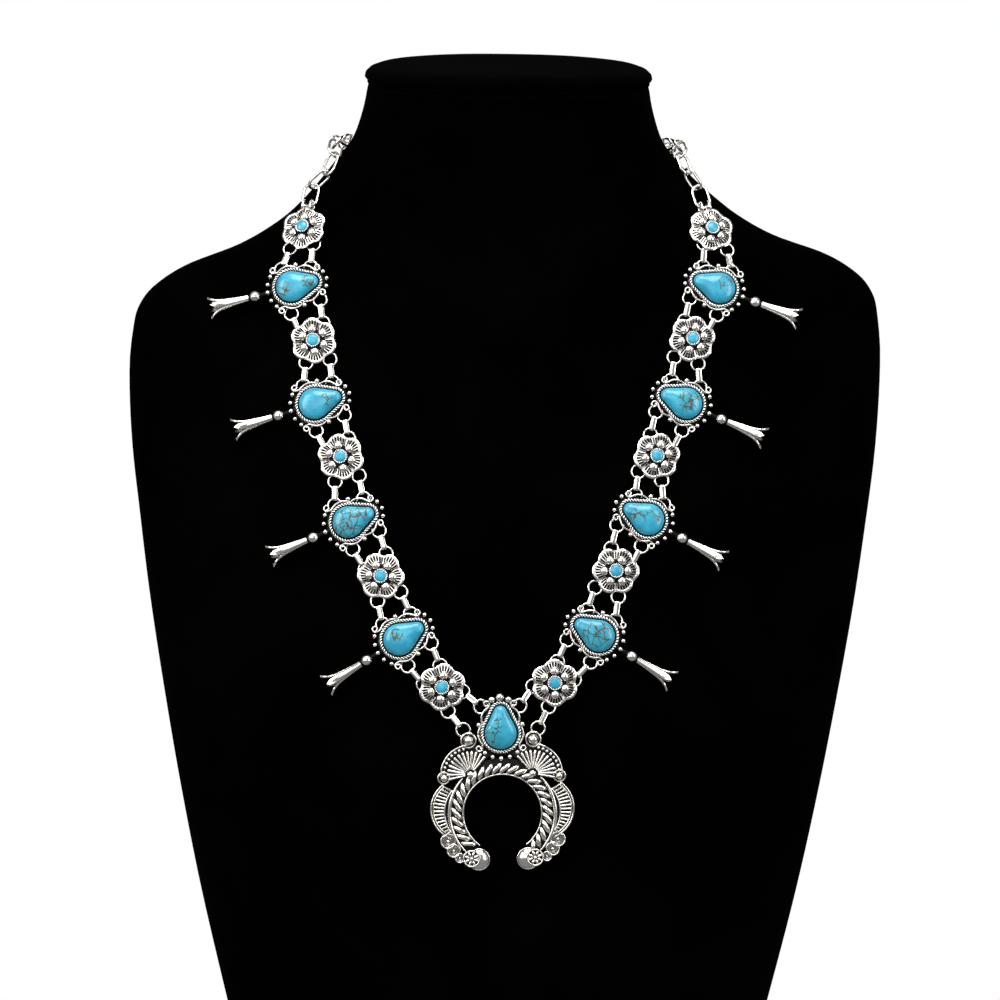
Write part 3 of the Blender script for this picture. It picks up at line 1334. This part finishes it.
def arc_plate(piece, r_in, r_out, start, stop, high, centre=(0, 0)):
    steps = max(int(abs(stop - start) / 3), 8)
    outline = np.vstack([circle(r_out, steps, start, stop, centre), circle(r_in, steps, stop, start, centre)])
    plate(piece, outline, PLATE_Z, high, 0.1, patina=1.0)


def arc_wire(piece, r, start, stop, wire_r, z=WIRE_Z, centre=(0, 0), squash=1.0, taper=False):
    full = abs(stop - start) >= 360
    steps = max(int(abs(stop - start) / 360 * 2 * math.pi * r / 0.55), 10)
    if taper:
        wire_r = wire_r * np.interp(np.linspace(0, 1, steps), [0, 0.3, 0.7, 1], [0.4, 1, 1, 0.4])
    tube(piece, circle(r, steps, start, stop, centre, z), wire_r, closed=full, squash=squash)


def strand(piece, angle):
    """One slanting turn of the twisted band, from its inner edge out and clockwise."""
    t = np.linspace(-1, 1, 13)
    r = BAND_R + BAND_HALF * t
    a = math.radians(angle) - BAND_HALF * t * math.tan(STRAND_SLANT) / BAND_R
    z = NAJA_TOP - 0.5 + 1.25 * np.sqrt(1 - 0.92 * t**2)
    tube(piece, polar(r, a, z), 1.02 - 0.45 * t**4, 10, squash=0.8)


def naja_band(piece):
    arc_plate(piece, NAJA_R, RIDGE_R + 0.9, NAJA_GAP - 90, 270 - NAJA_GAP, NAJA_TOP - 0.1)
    arc_wire(piece, NAJA_R + 0.3, NAJA_GAP - 88, 268 - NAJA_GAP, 0.35)
    for angle in STRAND_ANGLES:
        strand(piece, angle)


print("the band has", len(STRAND_ANGLES), "strands")


# %% Slotted crescents
def reach_to(start, way, centre, r):
    """Distance from start, inside a circle, along a unit way to the circle."""
    off = start - centre
    along = off @ way
    return -along + math.sqrt(along**2 - off @ off + r**2)


def crescent(piece):
    outer, inner = circle(RIM_R + 0.3, 40, -79, 49, RIM_MIDDLE), circle(RIDGE_R, 40, -31, 25.5)
    plate(piece, np.vstack([outer, inner[::-1]]), PLATE_Z, NAJA_TOP, 0.1, patina=1.0)
    arc_wire(piece, RIM_R, -66, 52, 0.42, NAJA_TOP + 0.3, RIM_MIDDLE)
    arc_wire(piece, RIM_R - 0.98, -58, 50, 0.33, NAJA_TOP + 0.45, RIM_MIDDLE)
    arc_wire(piece, SLOT_R, -34, 40, 0.36, NAJA_TOP + 0.5, SLOT_MIDDLE)
    arc_wire(piece, RIDGE_R, -46, 42, 0.8, NAJA_TOP + 0.2, squash=0.8, taper=True)
    for a in np.radians(RIB_ANGLES):
        way = np.array([math.cos(a), math.sin(a)])
        near = reach_to(RIB_MIDDLE, way, SLOT_MIDDLE, SLOT_R)
        far = reach_to(RIB_MIDDLE, way, RIM_MIDDLE, RIM_R - 1)
        ends = [[*(RIB_MIDDLE + reach * way), NAJA_TOP + 0.3] for reach in (near, far)]
        tube(piece, resample(ends, 1.0)[0], 0.42, squash=0.9)
    for ends in CRESCENT_ENDS:
        tube(piece, resample([[*end, NAJA_TOP + 0.4] for end in ends], 0.8)[0], 0.4)


print("a crescent has", len(RIB_ANGLES), "ribs")

# %% [markdown]
# The rays of a fan are drops of silver that widen outwards, with a granule where they start and a row of
# small granules beyond them. A rosette is a ring of petals round a bead, and a scallop is a small dish with
# fine ridges. Each is drawn about its own middle and then moved into place.

# %% Fans
FAN, FAN_R, FAN_RAYS, FAN_FROM, FAN_TO = (13.15, 16.8), 12.6, 13, -16.0, 138.0
RAY_FROM, RAY_TO = 2.4, 9.4
LOBE_BALLS = [(13.7, 31.2, 3.5, 2.2), (24.45, 15.5, 2.8, 1.6)]
SCALLOPS = [(23.2, -11.35, 3.3), (20.9, -15.45, 3.0), (18.35, -18.6, 2.2)]
TIP, TIP_DOME_R, TIP_DOME_H = (10.35, -19.4), 4.65, 2.4
ROSETTE, ROSETTE_R, ROSETTE_LIFT = (13.4, -18.7), 3.7, 2.3
# The crown over the stone: angle and radius of its large granules
CROWN = [(147, 1.45), (180, 1.85), (213, 1.45)]
CROWN_REACH = PEAR_TIP_R + ROPE_EDGE + PLATE_RIM + 0.9


def stub(piece, x, y, r, top=NAJA_TOP):
    """Blackened round plate with a small bevel."""
    profile = [[r - 0.2, PLATE_Z], [r, PLATE_Z + 0.2], [r, top - 0.1], [r - 0.3, top]]
    lathe(piece, profile, (x, y, 0), patina=1.0)


def fan(piece):
    arc_plate(piece, 1.0, FAN_R, FAN_FROM, FAN_TO, NAJA_TOP, FAN)
    path = np.linspace([RAY_FROM, 0, NAJA_TOP + 0.9], [RAY_TO, 0, NAJA_TOP + 0.3], 9)
    ray = Piece()
    tube(ray, path, np.linspace(0.28, 0.58, 9), 10)
    spokes(piece, ray, FAN, np.linspace(FAN_FROM + 4, FAN_TO - 8, FAN_RAYS))
    for granule in circle(FAN_R - 1.5, 8, FAN_FROM + 22, FAN_FROM + 92, FAN, NAJA_TOP + 0.35):
        ball(piece, granule, 0.7, 1.0, 12)
    lathe(piece, [[2.4, PLATE_Z], [2.2, NAJA_TOP + 0.4], [1.4, NAJA_TOP + 0.8]], (*FAN, 0), 24, patina=1.0)
    ball(piece, (*FAN, NAJA_TOP + 1.2), 1.45, 0.95, 22)
    arc_wire(piece, FAN_R - 0.2, FAN_FROM + 9, FAN_FROM + 103, 0.4, centre=FAN)


print("a fan has", FAN_RAYS, "rays")


# %% Balls, scallops, rosettes and tip domes
def ball_lobe(piece, x, y, lobe_r, ball_r):
    stub(piece, x, y, lobe_r)
    arc_wire(piece, lobe_r - 0.4, 0, 360, 0.4, centre=(x, y))
    ball(piece, (x, y, NAJA_TOP + 0.7), ball_r, 1.0, 28)


def scallop(piece, x, y, r):
    stub(piece, x, y, r)
    arc_wire(piece, r - 0.3, 0, 360, 0.34, centre=(x, y))
    ridge = Piece()
    tube(ridge, [[s * r, 0, NAJA_TOP + 0.1] for s in (0.3, 0.5, 0.7, 0.86)], [0.1, 0.16, 0.22, 0.26], 6)
    ridges = round(8 * r)
    spokes(piece, ridge, (x, y), np.arange(ridges) * 360 / ridges)
    ball(piece, (x, y, NAJA_TOP + 0.45), 0.22 * r, 1.0, 14)


def rosette(piece, x, y, r):
    top = NAJA_TOP + ROSETTE_LIFT
    stub(piece, x, y, r, top)
    arc_wire(piece, r - 0.35, 0, 360, 0.38, top, centre=(x, y))
    leaf = Piece()
    path = [[1.25, 0, top + 0.15], [1.8, 0, top + 0.25], [2.5, 0, top + 0.1]]
    tube(leaf, path, [0.34, 0.62, 0.5], squash=0.7)
    spokes(piece, leaf, (x, y), np.arange(8) * 45 + 20)
    ball(piece, (x, y, top + 0.35), 0.85, 0.95, 16)


def tip_dome(piece, x, y, r):
    stub(piece, x, y, r)
    arc_wire(piece, r - 0.25, 0, 360, 0.34, NAJA_TOP, centre=(x, y))
    cap_r = (r * r + TIP_DOME_H**2) / (2 * TIP_DOME_H)
    rise = np.linspace(math.asin((r - 0.6) / cap_r), 0.1, 12)
    lathe(piece, [[cap_r * math.sin(a), NAJA_TOP + TIP_DOME_H - cap_r + cap_r * math.cos(a)] for a in rise],
          (x, y, 0), 44)


print("a side has", len(SCALLOPS), "scallops and", len(LOBE_BALLS), "balls")


# %% The whole naja
def naja():
    half = Piece()
    crescent(half)
    fan(half)
    for lobe in LOBE_BALLS:
        ball_lobe(half, *lobe)
    for dish in SCALLOPS:
        scallop(half, *dish)
    tip_dome(half, *TIP, TIP_DOME_R)
    rosette(half, *ROSETTE, ROSETTE_R)
    for place in NAJA_RINGS:
        solder_ring(half, place)
    crown = Piece()
    crown.add(roped_bezel())
    for angle, r in CROWN:
        end_granule(crown, PEAR_NARROW_X, CROWN_REACH, angle, r)
    for angle in range(-40, 41, 20):
        end_granule(crown, PEAR_BROAD_X, BROAD_REACH, angle)
    piece = Piece()
    naja_band(piece)
    piece.add(half)
    piece.add(half, mirror(x=-1))
    piece.add(crown, upright)
    return piece


make(naja(), "naja", "antique_silver", naja_frame)
print("with the naja", total["faces"], "triangles in", total["pieces"], "pieces")

# %% [markdown]
# ## Floor and light
# The object stands in front of pure white, as a catalogue picture does. Polished metal shows whatever
# surrounds it, so the light needs contrast: large soft lamps above, in front and at the sides, a floor that
# glows evenly but only for the camera, and a world that is white for the camera and grey for the metal.

# %% Floor, lamps and world
FLOOR_HALF, FLOOR_Z = 12.0, -0.0005
ROOM_GREY = 0.24


def add_floor():
    mesh = bpy.data.meshes.new("floor")
    corners = ((-1, -1), (1, -1), (1, 1), (-1, 1))
    mesh.from_pydata([(x * FLOOR_HALF, y * FLOOR_HALF, FLOOR_Z) for x, y in corners], [], [(0, 1, 2, 3)])
    floor = add_object("floor", mesh)
    paint = Paint(bpy.data.materials.new("floor_white"), base_color=(0, 0, 0, 1), roughness=1.0,
                  specular_ior_level=0.0, emission_color=(1, 1, 1, 1), emission_strength=1.0)
    mesh.materials.append(paint.owner)
    floor.visible_diffuse = floor.visible_glossy = False


def add_lamp(name, place, size, power, aim=(0, 0, 0.2)):
    data = bpy.data.lights.new(name, "AREA")
    data.shape = "RECTANGLE"
    data.size, data.size_y = size
    data.energy = power
    back = unit(np.array(place) - np.array(aim))
    level = unit(np.cross(UP, back))
    add_object(name, data, [level, np.cross(back, level), back, place])


def add_world():
    paint = Paint(bpy.data.worlds.new("white_room"), "Background", color=(ROOM_GREY, ROOM_GREY, ROOM_GREY, 1))
    bpy.context.scene.world = paint.owner
    reflected = Channel(paint, paint.shader.outputs[0])
    seen = paint.add("ShaderNodeBackground", {}, {"Color": (1, 1, 1, 1)})
    camera_ray = paint.add("ShaderNodeLightPath", {}, {}, "Is Camera Ray")
    either = paint.add("ShaderNodeMixShader", {}, {0: camera_ray, 1: reflected, 2: seen})
    paint.put(paint.nodes["World Output"].inputs["Surface"], either)


add_floor()
add_lamp("lamp_top", (0.0, -0.9, 1.9), (1.6, 1.0), 40)
add_lamp("lamp_left", (-1.5, -1.1, 0.9), (0.7, 1.5), 21)
add_lamp("lamp_right", (1.5, -1.2, 0.8), (0.6, 1.5), 17)
add_lamp("lamp_front", (-0.5, -2.3, 0.9), (1.6, 1.2), 12)
add_lamp("lamp_back", (0.0, 1.8, 1.4), (2.0, 1.2), 12)
add_world()
bpy.context.scene.view_settings.view_transform = "Standard"
print("light is set")

# %% [markdown]
# ## Hand over
# The sizes of the measured model and of the dressed one are written side by side, so that they can be
# compared after each render. The last line checks the scene and writes its table.
